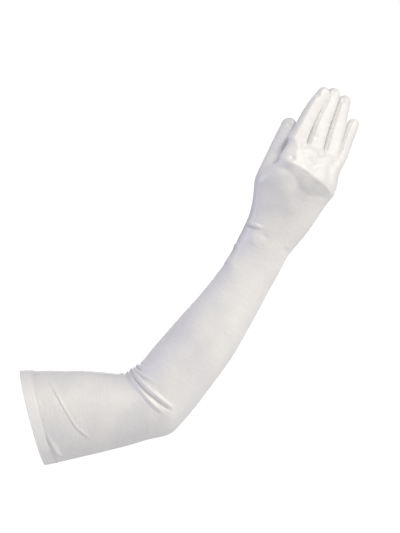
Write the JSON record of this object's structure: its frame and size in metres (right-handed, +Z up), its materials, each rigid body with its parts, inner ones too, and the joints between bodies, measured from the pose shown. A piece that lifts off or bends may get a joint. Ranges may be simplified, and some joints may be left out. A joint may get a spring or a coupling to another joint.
{
  "type": "long satin glove",
  "caption": "Over-the-elbow dress glove in stretch satin, hollow, in the form of a bent arm and an open hand with the fingers together.",
  "frame": {"origin": "middle of the cuff's opening, where the glove ends on the upper arm", "axes": "+X along the upper arm, from the cuff towards the elbow; +Z up, the way the forearm and the fingers rise; -Y out of the back of the hand"},
  "size_m": [0.3786, 0.1063, 0.4227],
  "materials": {
    "satin": "soft sheen stretch satin",
    "hem_satin": "soft sheen stretch satin, folded double"
  },
  "bodies": {
    "root": {"sleeve_upper_arm": "satin", "sleeve_forearm": "satin", "sleeve_wrist": "satin", "cuff_hem": "hem_satin", "hand": "satin", "thumb": "satin", "fourchette_index_middle": "satin", "fourchette_middle_ring": "satin", "fourchette_ring_little": "satin"}
  },
  "joints": []
}
